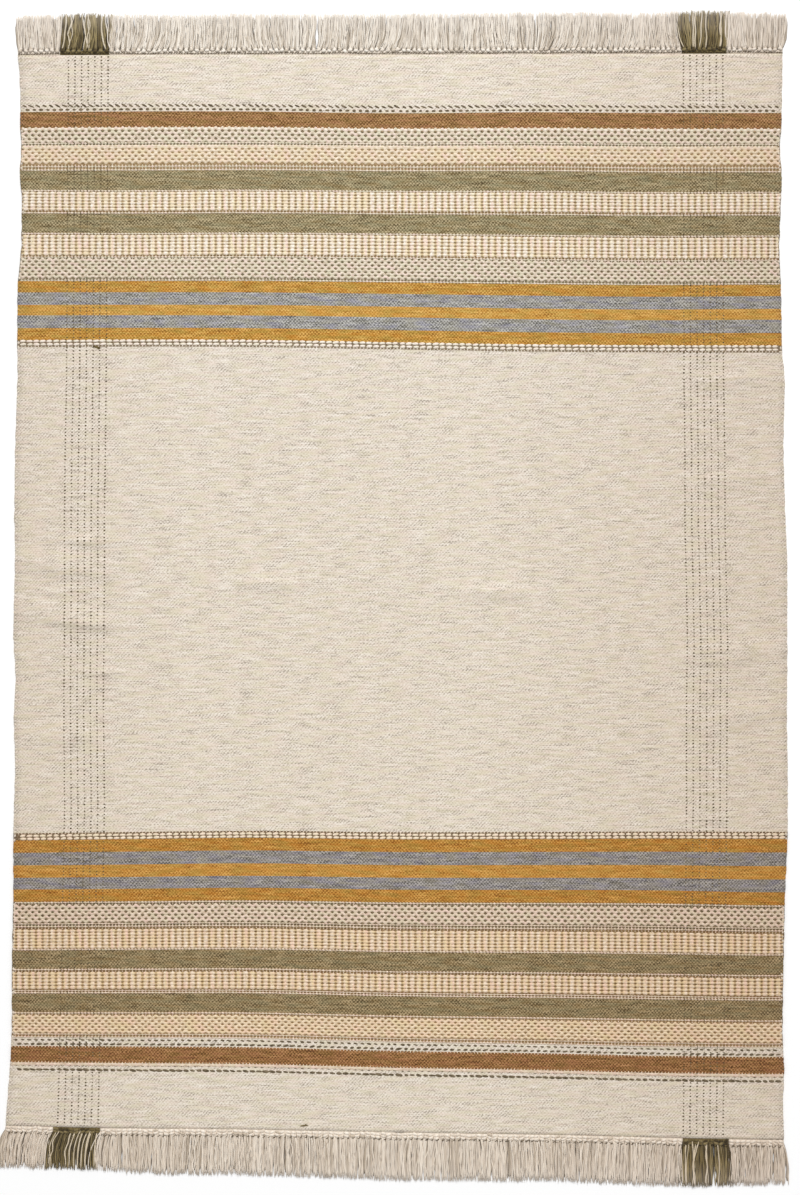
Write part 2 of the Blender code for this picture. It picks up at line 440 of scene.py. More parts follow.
CLOTHS = {
    "ecru": woven_cotton(
        "weft_ecru_cotton", ("A2978A", "E0D5C6", "F3EBE0"), ("E6D1C2", "D9D1B0"), 0.4, 0.88,
        "FFFEFC",
    ),
    "brown": woven_cotton(
        "weft_brown_cotton", ("52320F", "936B3C", "C0966A"), ("A47050", "836A34"), 0.9, 0.9,
        "F7ECE1",
    ),
    "olive": woven_cotton(
        "weft_olive_green_cotton", ("4E4124", "918260", "C1B18C"), ("8D7546", "8A8868"), 0.9,
        0.92, "F3E9E0",
    ),
    "mustard": woven_cotton(
        "weft_mustard_cotton", ("7E4C0C", "BC8A39", "E6B968"), ("C3801F", "9F8C3A"), 0.9, 0.75,
        "F4E9DF",
    ),
    "pale_mustard": woven_cotton(
        "weft_pale_mustard_cotton", ("875512", "C89746", "EABF70"), ("CB8A2C", "A99645"), 0.9,
        0.65, "F6EBDF",
    ),
    "blue": woven_cotton(
        "weft_blue_grey_cotton", ("53514C", "95938E", "C4C2BC"), ("8E8CA6", "9B9580"), 0.9, 0.92,
        "EFE9E7",
    ),
    "grey_green": woven_cotton(
        "weft_grey_green_cotton", ("53452F", "796A4F", "9C8C6F"), ("707556", "806C55"), 0.6, 0.8,
        "F2E9DF",
    ),
    "tan": woven_cotton(
        "weft_tan_cotton", ("755B38", "9A805A", "B69C76"), ("8D8063", "A3825F"), 0.6, 0.8,
        "F2E9DF",
    ),
    "orange": woven_cotton(
        "weft_nut_brown_cotton", ("604929", "89714E", "AA916B"), ("7F6D4A", "956F50"), 0.6, 0.8,
        "F2E9DF",
    ),
    "taupe": woven_cotton(
        "weft_taupe_cotton", ("5A4B33", "85755E", "A89881"), ("7B6C50", "8A735F"), 0.6, 0.8,
        "F0E5DA",
    ),
}


def band_rows():
    """The level of every row of the cloth's grid, with a row on each edge of each band."""
    starts = [row[0] for row in BANDS] + [BOTTOM_END]
    levels = [starts[0]]
    yarns = []
    for (start, yarn), stop in zip(BANDS, starts[1:]):
        steps = max(1, round((start - stop) / ROW_STEP))
        for step in range(steps):
            levels.append(start + (stop - start) * (step + 1) / steps)
            yarns.append(yarn)
    return np.array(levels) * MM, yarns


def yarns_at(level):
    """The yarn that is woven in at each of many levels."""
    levels, yarns = band_rows()
    row = np.clip(np.searchsorted(-levels, -level) - 1, 0, len(yarns) - 1)
    return np.array(yarns)[row]


def grid_columns():
    """The places of the grid's columns at its widest, closer together at the centre fold."""
    low = min(row[1] for row in SELVEDGES)
    high = max(row[2] for row in SELVEDGES)
    middle = CENTRE_FOLD / MM
    near, far = middle - FINE_COLUMNS_REACH, middle + FINE_COLUMNS_REACH
    return np.concatenate([
        np.linspace(low, near, round((near - low) / COLUMN_STEP), endpoint=False),
        np.linspace(near, far, round(2 * FINE_COLUMNS_REACH / FINE_COLUMN_STEP), endpoint=False),
        np.linspace(far, high, round((high - far) / COLUMN_STEP)),
    ]) * MM


def make_cloth():
    levels, yarns = band_rows()
    columns = grid_columns()
    across, level = np.meshgrid(columns, levels)
    left_share = left_edge(level) / columns[0]
    right_share = right_edge(level) / columns[-1]
    x = across * np.where(across < 0, left_share, right_share)
    y = weft_line(x, level)
    # Each turn of the weft at a selvedge draws the edge in or out by a hair.
    wobble = WOBBLE * np.sin(y / WOBBLE_LENGTHS[0]) * np.sin(y / WOBBLE_LENGTHS[1] + 1)
    x[:, 0] += wobble[:, 0]
    x[:, -1] -= wobble[:, -1]
    points = np.stack([x, y, cloth_top(x, y)], axis=-1)
    rows, width = x.shape
    faces = strip_faces(rows, width)
    names = list(CLOTHS)
    face_yarns = np.repeat([names.index(yarn) for yarn in yarns], width - 1)
    cloth = make_mesh("woven_cloth_sheet", points, faces.tolist(), CLOTHS.values(), face_yarns)
    # The bake's map covers the top of the cloth from edge to edge, and the underside shares it.
    layer = cloth.data.uv_layers.new(name="OFBake")
    u = np.tile(np.linspace(MAP_MARGIN, 1 - MAP_MARGIN, width), rows)
    v = np.repeat(np.linspace(1 - MAP_MARGIN, MAP_MARGIN, rows), width)
    corners = faces.ravel()
    layer.data.foreach_set("uv", np.stack([u[corners], v[corners]], axis=1).ravel())
    sheet = cloth.modifiers.new("thickness", "SOLIDIFY")
    sheet.thickness = THICKNESS
    sheet.offset = -1.0
    return cloth


cloth = make_cloth()
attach(cloth, "root")
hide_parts("woven_cloth")


# The netted bands
# In the dash bands, bundles of pale weft float over a dark ground and bind down in turn, so that
# they make a net with dark spots. In the grey-green and tan bands the spots are staggered like
# bricks, and in the orange bands they stand in columns.
SPOT_PITCH = 8 * WARP_SPACING * 0.993
FLOAT_HEIGHT = 1.15 * MM
FLOAT_SINK = 0.3 * MM
FLOAT_WANDER = 0.22 * MM
FLOAT_INSET = 0.8 * MM
# A float's section, as shares of its half width and its height, and how much both vary.
FLOAT_SECTION = ((-1, 0), (-0.45, 1), (0.45, 1), (1, 0))
FLOAT_WIDTHS = (0.88, 1.12)
FLOAT_HEIGHTS = (0.85, 1.15)

# Columns: the yarn that floats, first row of spots along the kilim, pitch of the rows, how many
# rows, whether they are staggered, and whether a float closes the band below the last row.
NETTED_BANDS = (
    ("ecru", 976.4, 7.8, 4, True, False),
    ("peach", 939.5, 7.3, 5, True, False),
    ("orange", 843.3, 6.6, 5, False, True),
    ("orange", 752.8, 7.15, 5, False, True),
    ("ecru", 703.3, 6.9, 5, True, True),
    ("ecru", -648.3, 7.6, 5, True, False),
    ("orange", -700.0, 6.9, 5, False, True),
    ("orange", -791.8, 7.35, 5, False, False),
    ("peach", -883.4, 6.35, 6, True, False),
)
# Sizes of a float as shares of the pitch of its rows.
STAGGERED_SWAY = 0.3
STAGGERED_HALF_WIDTHS = {"ecru": 0.475, "peach": 0.5}
COLUMN_HALF_WIDTH = 0.28
WIDEST_HALF = 0.53
# How fast a float widens away from a spot. More gives shorter spots.
SWELL_RATE = 2.1


def lay_float(chance, level, half_widths, sway, phase, pitch, steps, height):
    """The points of one float across the whole width, four to a section, and its faces.
    Its half widths are the one at a spot and the one between two spots."""
    step = pitch / steps
    first = math.ceil((float(left_edge(level)) + FLOAT_INSET) / step)
    last = math.floor((float(right_edge(level)) - FLOAT_INSET) / step)
    x = np.arange(first, last + 1) * step
    turn = FULL_TURN * (x / pitch - phase)
    count = len(x)
    narrow, wide = half_widths
    swell = np.minimum(SWELL_RATE * (1 - np.cos(turn)) / 2, 1)
    half = (narrow + (wide - narrow) * swell) * chance.uniform(*FLOAT_WIDTHS, count)
    middle = weft_line(x, level) + sway * np.cos(turn)
    middle = middle + chance.uniform(-1, 1, count) * FLOAT_WANDER
    tops = height * chance.uniform(*FLOAT_HEIGHTS, count)
    base = cloth_top(x, middle)
    points = np.empty((count, 4, 3))
    for place, (out, rise) in enumerate(FLOAT_SECTION):
        points[:, place, 0] = x
        points[:, place, 1] = middle + out * half
        points[:, place, 2] = base + (tops if rise else -FLOAT_SINK)
    return points.reshape(-1, 3), strip_faces(count, 4).tolist()


def join_parts(parts):
    """Several lots of points and faces as one."""
    points, faces, offset = [], [], 0
    for part_points, part_faces in parts:
        points.append(part_points)
        faces += [[corner + offset for corner in face] for face in part_faces]
        offset += len(part_points)
    return np.concatenate(points), faces


# Floats of handspun cotton give the eye pale, slightly glossy bundles of parallel threads,
# cream in one place and pinkish or greenish in the next.
BETWEEN_SHARE = 0.62
TINT_ON_FLOATS = 0.6


def floating_cotton(name, shades, tints, patch, bottom_tint, between=None):
    """One yarn of the floats. A colour for between them shows where spots stand in columns."""
    material, shader, place = new_material(name, roughness=0.88, sheen=0.15)
    x, y, _ = add_node(material, "SeparateXYZ", {}, {"Vector": place}).node.outputs
    colour = toned(material, place, shades, (7, 4), (0.34, 0.64))
    for number, tint in enumerate(tints):
        colour = tinted(material, place, colour, tint, TINT_ON_FLOATS, patch, 0.3 * (number + 1))
    if between:
        column = add_node(
            material, "MapRange", {},
            {"Value": wave(material, (x, FULL_TURN / SPOT_PITCH)), "From Min": 0.1, "From Max": 0.9,
             "To Max": BETWEEN_SHARE},
        )
        colour = add_node(
            material, "Mix", {"data_type": "RGBA"}, {0: column, 6: colour, 7: linear(between)}, 2
        )
    colour = deepened(material, place, colour, bottom_tint)
    threads = wave(material, (y, FULL_TURN / PICK_SPACING))
    return surfaced(material, shader, colour, threads, 0.2)


FLOATS = {
    "ecru": floating_cotton(
        "floats_ecru_cotton", ("C4B298", "F3E6D4"), ("EFD3CA", "DAD6B8"), (26, 14), "FBF3EF"
    ),
    "peach": floating_cotton(
        "floats_cream_cotton", ("D0BC9F", "F8E8D1"), ("F1CFBF", "E5D6AE"), (30, 26), "FDF6EC"
    ),
    "orange": floating_cotton(
        "floats_peach_cotton", ("DFCDB3", "FFF6EA"), ("F9D7CA", "EFE0B4"), (9, 60), "F6EBDF",
        "BDA66E",
    ),
    "braid": floating_cotton(
        "braid_ecru_cotton", ("EADDCB", "FEF5E9"), ("F5DFD4", "EAE4CB"), (26, 14), "FCF4E8"
    ),
}
FLOAT_SAMPLES = 6


def lay_on_cloth(piece):
    """Says that a piece belongs to the woven cloth."""
    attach(piece, "root")


def netted_bands():
    chance = np.random.default_rng(11)
    parts = {yarn: [] for yarn in FLOATS}
    for yarn, first, pitch, rows, staggered, closed in NETTED_BANDS:
        pitch = pitch * MM
        for number in range(rows + (1 if closed else 0)):
            level = first * MM + pitch / 2 - number * pitch
            if staggered:
                # The float dips towards the row of spots above it and rises over the row below.
                half, sway, phase = STAGGERED_HALF_WIDTHS[yarn], STAGGERED_SWAY, (number % 2) / 2
                halves = (half * pitch, half * pitch)
            else:
                half, sway, phase = COLUMN_HALF_WIDTH, 0, 0
                halves = (half * pitch, WIDEST_HALF * pitch)
            parts[yarn].append(lay_float(
                chance, level, halves, sway * pitch, phase, SPOT_PITCH, FLOAT_SAMPLES, FLOAT_HEIGHT
            ))
    return parts


# The fine lines
# Between the bands run single pale picks whose edges catch every fourth warp, which gives them
# tiny teeth, and dark picks that are broken by a pale stitch at every fourth warp.
PALE_LINES = (
    951.7, 903.3, 896.0, 852.1, 805.5, 762.4, 712.9, 663.6, -635.8, -687.2, -736.6, -779.4,
    -829.0, -872.2, -924.2,
)
# Columns: the lines' places along the kilim, half of their width and how far their teeth stand
# out, in mm. Most are fine, the next two are wide, and the last three have short teeth.
LINES = (
    (PALE_LINES, 0.6, 1.9),
    ((945.0, -982.4), 2.6, 1.9),
    ((-681.3, -824.2, -917.9), 0.75, 0.95),
)
LINE_HEIGHT = 0.8 * FLOAT_HEIGHT
DOTTED_LINES = (
    949.3, 906.4, 899.7, 849.2, 809.5, 759.3, 716.5, 709.3, 667.8, -640.0, -684.2, -691.2,
    -733.0, -783.3, -826.4, -876.6, -920.9,
)
STITCH_HALF_WIDTH = 1.2 * MM
STITCH_HALF_LENGTH = 2.2 * MM
STITCH_HEIGHT = 0.8 * MM
# How much stitches vary: in pitch and size as shares, and in tilt in radians.
PITCH_JITTER = 0.03
STITCH_JITTER = 0.25
TILT_JITTER = 0.1


def low_domes(places, sides, rings):
    """Many low domes as one mesh. Each place has x, y, base height, half length across,
    half width along, turn in radians and height."""
    places = np.asarray(places, float)
    count = len(places)
    angles = np.arange(sides) * FULL_TURN / sides
    x, y, base, half_x, half_y, turn, height = places.T[:, :, None]
    points = []
    for share, rise in rings:
        across = np.cos(angles) * share * half_x
        along = np.sin(angles) * share * half_y
        points.append(np.stack([
            x + across * np.cos(turn) - along * np.sin(turn),
            y + across * np.sin(turn) + along * np.cos(turn),
            base + height * rise + 0 * across,
        ], axis=-1))
    peak = np.concatenate([x, y, base + height], axis=1)[:, None, :]
    points = np.concatenate([*points, peak], axis=1)
    each = sides * len(rings) + 1
    faces = []
    for ring in range(len(rings) - 1):
        for side in range(sides):
            low = ring * sides + side
            next_low = ring * sides + (side + 1) % sides
            faces.append((low, next_low, next_low + sides, low + sides))
    cap = [
        (sides * (len(rings) - 1) + side, sides * (len(rings) - 1) + (side + 1) % sides, each - 1)
        for side in range(sides)
    ]
    starts = np.arange(count)[:, None] * each
    all_faces = []
    for face in faces + cap:
        all_faces += (starts + np.array(face)).tolist()
    return points.reshape(-1, 3), all_faces


def dome_places(x, y, lift, half_x, half_y, turn, height):
    """Places for low domes that start a little above or below the top of the cloth."""
    columns = (x, y, cloth_top(x, y) + lift, half_x, half_y, turn, height)
    return np.stack(np.broadcast_arrays(*columns), axis=1)


SMALL_DOME = (6, ((1.0, 0.0),))
ROUND_DOME = (8, ((1.0, 0.0), (0.72, 0.75)))


def row_places(chance, level, pitch, phase, half_x, half_y, turn, height, jitter=0.1):
    """The places of a row of stitches across the whole width."""
    first = math.ceil((float(left_edge(level)) + half_x) / pitch - phase)
    last = math.floor((float(right_edge(level)) - half_x) / pitch - phase)
    x = (np.arange(first, last + 1) + phase) * pitch
    x = x + chance.uniform(-1, 1, len(x)) * pitch * PITCH_JITTER
    y = weft_line(x, level) + chance.uniform(-1, 1, len(x)) * FLOAT_WANDER
    sizes = chance.uniform(1 - jitter, 1 + jitter, (2, len(x)))
    tilt = math.radians(turn) + chance.uniform(-1, 1, len(x)) * TILT_JITTER
    return dome_places(
        x, y, -FLOAT_SINK, half_x * sizes[0], half_y * sizes[1], tilt, height + FLOAT_SINK
    )


def small_stitches(chance, lines):
    """Rows of small stitches, one at every fourth warp."""
    rows = [
        row_places(
            chance, line * MM, TWILL_WIDTH, 0.5, STITCH_HALF_WIDTH, STITCH_HALF_LENGTH, 0,
            STITCH_HEIGHT, STITCH_JITTER,
        )
        for line in lines
    ]
    return low_domes(np.concatenate(rows), *SMALL_DOME)


def fine_lines():
    chance = np.random.default_rng(12)
    parts = []
    for lines, half_width, teeth in LINES:
        halves = (half_width * MM, (half_width + teeth) * MM)
        for line in lines:
            parts.append(
                lay_float(chance, line * MM, halves, 0, 0, TWILL_WIDTH, 2, LINE_HEIGHT)
            )
    parts.append(small_stitches(chance, DOTTED_LINES))
    return parts


# The braided rows
# Beside each field edge, two rows of thick pale stitches lie end to end like a braid, over a
# taupe ground. Under the brown band is a row of wide pale stitches of the same yarn.
# Columns: place along the kilim, phase, half length and half width in mm, turn in degrees.
BRAID_ROWS = (
    (534.3, 0.0, 6.8, 3.0, 4), (527.4, 0.08, 6.8, 3.0, 4), (-492.8, 0.0, 6.8, 3.0, 4),
    (-499.2, 0.08, 6.8, 3.0, 4), (980.2, 0.5, 5.4, 3.7, 0),
)
BRAID_HEIGHT = 1.2 * FLOAT_HEIGHT
BRAID_EDGES = (523.2, -488.4, -944.9, -977.6)


def braided_rows():
    chance = np.random.default_rng(13)
    rows = [
        row_places(
            chance, level * MM, SPOT_PITCH, phase, half_length * MM, half_width * MM, tilt,
            BRAID_HEIGHT,
        )
        for level, phase, half_length, half_width, tilt in BRAID_ROWS
    ]
    return [
        low_domes(np.concatenate(rows), *ROUND_DOME),
        small_stitches(chance, BRAID_EDGES),
    ]


float_parts = netted_bands()
float_parts["ecru"] += fine_lines()
float_parts["braid"] += braided_rows()
for yarn, parts in float_parts.items():
    lay_on_cloth(make_mesh(f"{yarn}_floats", *join_parts(parts), [FLOATS[yarn]]))


# The dark dashes
# Along the ends and beside the brown bands, rows of grey-green stitches lie on the pale ground.
# Columns: place along the kilim, half length, half width, in mm, turn in degrees, phase.
DASH_ROWS = (
    (1028.6, 7.3, 2.4, -26, 0.25), (1020.4, 5.0, 3.1, 0, 0.75), (-930.4, 5.2, 2.4, -10, 0.0),
    (-939.2, 6.4, 2.8, 8, 0.5), (-984.6, 4.8, 2.0, 0, 0.0), (-993.6, 7.9, 3.2, -7, 0.5),
)
DASH_HEIGHT = 0.5 * MM
DASH_JITTER = 0.2


# Dyed cotton stitches give the eye soft dark marks with no gloss, each a little different.
def stitched_cotton(name, *shades):
    material, shader, place = new_material(name, roughness=0.94, sheen=0.1)
    return surfaced(material, shader, toned(material, place, shades, (9, 9), (0.3, 0.7), 1.0))


def dark_dashes():
    chance = np.random.default_rng(14)
    rows = [
        row_places(
            chance, level * MM, SPOT_PITCH, phase, half_length * MM, half_width * MM, turn,
            DASH_HEIGHT, DASH_JITTER,
        )
        for level, half_length, half_width, turn, phase in DASH_ROWS
    ]
    material = stitched_cotton("stitches_grey_green_cotton", "51442F", "7E6F58")
    domes = low_domes(np.concatenate(rows), *ROUND_DOME)
    return make_mesh("grey_green_dashes", *domes, [material])


lay_on_cloth(dark_dashes())


# The olive warps
# Seven warps of olive yarn run near each selvedge, under both ends' olive fringe, and show
# between the weft as columns of small dark dots.
# Columns: place along the kilim, first and last column on the left, first and last on the right.
OLIVE_WARPS = (
    (1137, -683, -600, 601.5, 683.5), (463, -687, -604.3, 602.5, 685),
    (300, -690, -606, 604.7, 687.7), (164, -691.3, -608, 604.6, 688),
    (39, -690.8, -608, 607.6, 690.8), (-87, -691.4, -609, 609.8, 693.5),
    (-212, -692.8, -610.2, 607.8, 692.3), (-436, -691, -607.8, 607.8, 691.8),
    (-1050, -703.8, -620, 601.6, 684.6), (-1114, -706, -621.5, 601, 684),
)
OLIVE_COLUMNS = 7
DOT_PITCH = TWILL_WIDTH * 1.005
DOT_HALF_WIDTH = 2.35 * MM
DOT_HALF_LENGTH = 1.9 * MM
DOT_HEIGHT = 0.5 * MM
DOT_SINK = 0.06 * MM
DOTTED_YARNS = ("ecru", "brown", "olive", "mustard", "pale_mustard", "blue")
STRIPE_DOT_SHARE = 0.84
DOT_SIZES = (0.8, 1.15)
DOT_WANDER = 0.5 * MM
WARP_WANDER = 0.35 * MM
FIRST_DOT = 0.6
FAINT_DOTS = 0.12
FAINT_SIZE = 0.6
# Where a pale line crosses the olive warps, each shows on it as a tick.
TICK_HALF_WIDTH = 0.9 * MM
TICK_HALF_LENGTH = 1.9 * MM
FLOAT_CLEARANCE = 0.85 * FLOAT_HEIGHT


def olive_dots():
    chance = np.random.default_rng(15)
    along, *lines = columns_of(OLIVE_WARPS)
    places = []
    count = int((TOP_END - BOTTOM_END) * MM / DOT_PITCH)
    lines_crossed = np.array(PALE_LINES) * MM
    for start_line, stop_line in ((0, 1), (2, 3)):
        for column in range(OLIVE_COLUMNS):
            share = column / (OLIVE_COLUMNS - 1)
            level = TOP_END * MM - (np.arange(count) + FIRST_DOT) * DOT_PITCH
            level = level + chance.uniform(-1, 1, count) * DOT_WANDER
            yarn = yarns_at(level)
            size = np.where(yarn == "ecru", 1.0, STRIPE_DOT_SHARE)
            size = size * chance.uniform(*DOT_SIZES, count)
            size = np.where(chance.uniform(0, 1, count) < FAINT_DOTS, FAINT_SIZE * size, size)
            keep = np.isin(yarn, DOTTED_YARNS)
            for marks, half_width, half_length, rise in (
                (level[keep], DOT_HALF_WIDTH * size[keep], DOT_HALF_LENGTH * size[keep], -DOT_SINK),
                (lines_crossed, TICK_HALF_WIDTH, TICK_HALF_LENGTH, FLOAT_CLEARANCE),
            ):
                start = np.interp(marks, along, lines[start_line])
                stop = np.interp(marks, along, lines[stop_line])
                x = start + (stop - start) * share
                x = x + chance.uniform(-1, 1, len(marks)) * WARP_WANDER
                y = weft_line(x, marks)
                places.append(dome_places(x, y, rise, half_width, half_length, 0, DOT_HEIGHT))
    material = stitched_cotton("warp_dots_olive_cotton", "463A25", "71644B")
    domes = low_domes(np.concatenate(places), *SMALL_DOME)
    return make_mesh("olive_warp_dots", *domes, [material])


lay_on_cloth(olive_dots())


# The slubs
# Two specks of waste that were spun into the weft: a dark one by the braid at the top left and
# a longer olive thread in the bottom end.
# Columns: place across, place along, half length, half width, turn in degrees, in mm.
SLUBS = (
    (-625.5, 526.7, 6.2, 2.6, -12), (-619.5, 523.4, 3.6, 1.8, 20), (-192, -1100, 8.2, 1.5, 6),
    (-186, -1098.6, 4.0, 1.0, -25),
)
SLUB_HEIGHT = 1.6 * MM

*slub_sizes, slub_turns = np.array(SLUBS).T
across, along, half_length, half_width = (column * MM for column in slub_sizes)
slub_places = dome_places(
    across, along, 0, half_length, half_width, np.radians(slub_turns), SLUB_HEIGHT
)
slub_yarn = stitched_cotton("slubs_dark_olive_cotton", "4A3A1E", "7A6A40")
lay_on_cloth(make_mesh("dark_slubs", *low_domes(slub_places, *ROUND_DOME), [slub_yarn]))


# The selvedges
# At each side the weft turns back round a doubled outer warp, and each turn stands as a small
# rounded bead along the edge, of the yarn that is woven there. Beside the dash bands it is the
# pale yarn of their floats.
TURN_PITCH = 8.6 * MM
TURN_HALF_ACROSS = 3.0 * MM
TURN_HALF_ALONG = 4.1 * MM
TURN_INSET = 2.2 * MM
TURN_SINK = 1.2 * MM
TURN_HEIGHT = 1.7 * MM
# How much the turns vary: in place, in size as shares, and in tilt in radians.
TURN_WANDER = 1.1 * MM
INSET_SPREAD = 0.9 * MM
TURN_SIZES = (0.8, 1.2)
TURN_TILT = 0.2
TURN_YARNS = dict.fromkeys(("tan", "orange", "grey_green", "taupe"), "ecru")


def selvedge_turns():
    chance = np.random.default_rng(16)
    places, turned = [], []
    count = int((TOP_END - BOTTOM_END) * MM / TURN_PITCH)
    for side, edge in ((-1, left_edge), (1, right_edge)):
        level = TOP_END * MM - (np.arange(count) + 0.5) * TURN_PITCH
        level = level + chance.uniform(-1, 1, count) * TURN_WANDER
        x = edge(level) - side * (TURN_INSET + chance.uniform(0, 1, count) * INSET_SPREAD)
        y = weft_line(x, level)
        sizes = chance.uniform(*TURN_SIZES, (2, count))
        places.append(dome_places(
            x, y, -TURN_SINK, TURN_HALF_ACROSS * sizes[0], TURN_HALF_ALONG * sizes[1],
            chance.uniform(-TURN_TILT, TURN_TILT, count), TURN_HEIGHT,
        ))
        turned += [list(CLOTHS).index(TURN_YARNS.get(yarn, yarn)) for yarn in yarns_at(level)]
    points, faces = low_domes(np.concatenate(places), *ROUND_DOME)
    # The faces come in turns: one of each bead's faces, bead after bead, then the next.
    indices = turned * (len(faces) // len(turned))
    return make_mesh("selvedge_turns", points, faces, CLOTHS.values(), indices)


lay_on_cloth(selvedge_turns())


# The fringe
# The warp ends are packed side by side beyond the last pick, drawn together in bunches of plied
# yarns, knotted, and left to hang. Most are ecru. Over the olive warps they are olive, with a few
# ecru yarns among them. A thin dark thread along the ends is painted shadow of the knots. At the
# top end it lies between the cloth and the knots, and at the bottom end just beyond the knots.
# Each group of bunches is one piece, and stands for one node.
# Columns: node, where the group starts and stops across, in mm, bunches, the end it is on, yarn.
GROUPS = (
    ("top_fringe_left", -789, -701, 8, 1, "ecru"),
    ("top_fringe_olive_left", -701, -598, 9, 1, "olive"),
    ("top_fringe_middle", -598, 598, 108, 1, "ecru"),
    ("top_fringe_olive_right", 598, 692, 9, 1, "olive"),
    ("top_fringe_right", 692, 809, 11, 1, "ecru"),
    ("bottom_fringe_left", -814, -715, 9, -1, "ecru"),
    ("bottom_fringe_olive_left", -715, -617, 9, -1, "olive"),
    ("bottom_fringe_middle", -617, 600, 110, -1, "ecru"),
    ("bottom_fringe_olive_right", 600, 696, 9, -1, "olive"),
    ("bottom_fringe_right", 696, 811, 10, -1, "ecru"),
)
# How far the fringe reaches. Columns: place across, tips at the top end, tips at the bottom end.
TIPS = (
    (-805, 1218, -1188), (-658, 1223, -1192), (-491, 1221, -1202), (-303, 1223, -1204),
    (10, 1223, -1215), (345, 1227, -1217), (512, 1224, -1225), (648, 1229, -1228),
    (813, 1224, -1224),
)
# Distances beyond the cloth's end, for the top end as 1 and the bottom end as -1.
KNOT_PLACE = {1: 9.2 * MM, -1: 5.4 * MM}
SHADOW_THREAD_PLACE = {1: 3.6 * MM, -1: 14.6 * MM}
STRIP_REACH = {1: 9.0 * MM, -1: 12.5 * MM}
STRIP_HEIGHT = 2.0 * MM
STRIP_GAP = 0.2 * MM
RIB_PITCH = 3.5 * MM
RIB_SHARE = 0.12
NEAR_HEIGHT = {1: 2.0 * MM, -1: 4.7 * MM}
# The painted shadow thread: how thick it is, how far and how often it swings, and how high it lies.
SHADOW_THREAD_RADIUS = 1.3 * MM
SHADOW_THREAD_SWING = {1: 0.9 * MM, -1: 1.5 * MM}
SHADOW_THREAD_WAVE = {1: 5.5 * MM, -1: 11.0 * MM}
SHADOW_THREAD_HEIGHT = {1: 2.6 * MM, -1: 3.2 * MM}
SHADOW_THREAD_DRIFT = 0.7 * MM
SHADOW_THREAD_DRIFT_LENGTH = 19 * MM
SHADOW_THREAD_DIP = 0.7 * MM
SHADOW_THREAD_SIZES = (0.35, 1.3)
LIFT_OFF_FLOOR = 0.1 * MM
KNOT_HALF_WIDTH = {1: 3.7 * MM, -1: 4.3 * MM}
KNOT_RADIUS = {1: 3.6 * MM, -1: 4.2 * MM}
# The two turns of a knot at each end. Columns: thickness, half width, slope, distance towards
# the tips and height.
KNOT_TURNS = {
    1: ((1.0, 1.0, 0.3, 0.0, 3.3), (0.5, 0.72, -0.45, 3.4, 3.9)),
    -1: ((0.9, 1.0, 0.5, -1.5, 3.2), (0.86, 0.95, 0.42, 4.2, 3.0)),
}
# How much the knots vary in place, width, slant and thickness, and the height of a turn's ends in mm.
KNOT_SECTIONS = 7
KNOT_WANDER_ALONG = 0.7 * MM
KNOT_WANDER_ACROSS = 0.6 * MM
KNOT_WIDTHS = (0.9, 1.1)
KNOT_SLANTS = (0.5, 1.3)
KNOT_SIZES = (0.85, 1.1)
KNOT_FOOT = 0.9
YARNS_A_BUNCH = 12
UNDER_YARNS = 4
YARN_HALF_WIDTH = 1.05 * MM
YARN_HALF_DEPTH = 0.8 * MM
YARN_SECTIONS = 10
UNDER_HALF_WIDTH = 2.7 * MM
UNDER_HALF_DEPTH = 0.6 * MM
UNDER_SPREAD = 0.85
UNDER_LEVEL = 0.7 * MM
UNDER_SHORTER = 7 * MM
ROOT_LEVEL = 3.0 * MM
ROOT_SPREAD = 3.6 * MM
# How a yarn's thickness varies, how far it waves and curls, and how much its length varies in mm.
YARN_SIZES = (0.8, 1.25)
THICK_AND_THIN = 0.13
BRIGHT_WIDTHS = (0.9, 1.6)
YARN_WAVE = 1.2 * MM
TIP_CURL = 2.2 * MM
YARN_LENGTHS = (-4.5, 1.5)
# How much a bunch narrows towards its tips, as a share of its pitch, and how much shorter it is.
NARROWING = (0.42, 0.66)
SHORTENING = 3 * MM
STRAY_SHARE = 0.5
# How far the bunches lean together at each end, in a slow and a quick wave, how far each leans
# on its own, and which way they lean on the whole.
LEAN_WAVES = (71 * MM, 27 * MM)
LEAN_SPREAD = 1.9 * MM
BUNCH_LEAN = {1: 12.0 * MM, -1: 5.0 * MM}
COMMON_LEAN = {1: 3.5 * MM, -1: -0.5 * MM}
CORNER_SPLAY = {1: 4.0 * MM, -1: 11.0 * MM}
CORNER_REACH = 170 * MM
# Places where the bunches lean further. Columns: end, place across, reach and lean, in mm.
EXTRA_LEANS = (
    (-1, -672, 120, -20), (-1, 640, 90, -4), (1, -650, 90, 4), (1, -800, 110, 10),
    (1, 810, 110, -9), (-1, 810, 110, -9),
)
# How likely a bunch of olive yarn is to have no ecru yarn lying on top, one, or two.
ECRU_ON_OLIVE = (0.3, 0.42, 0.28)
# How far a yarn's tip strays from its place, as a spread in mm, and the heights of the layers.
STRAYS = {"under": 1.5, "plain": 2.6, "stray": 6.0, "bright": 4.5}
LEVELS = (1.7 * MM, 2.5 * MM, 3.3 * MM, 4.5 * MM)
# A gap between two bunches at the top end: its place across, half of its width and the share of
# the fringe's length that it takes.
SLIT = (-165 * MM, 4.8 * MM, 0.72)


def tip_line(x, side):
    return float(read_line(TIPS, x, 1 if side > 0 else 2))


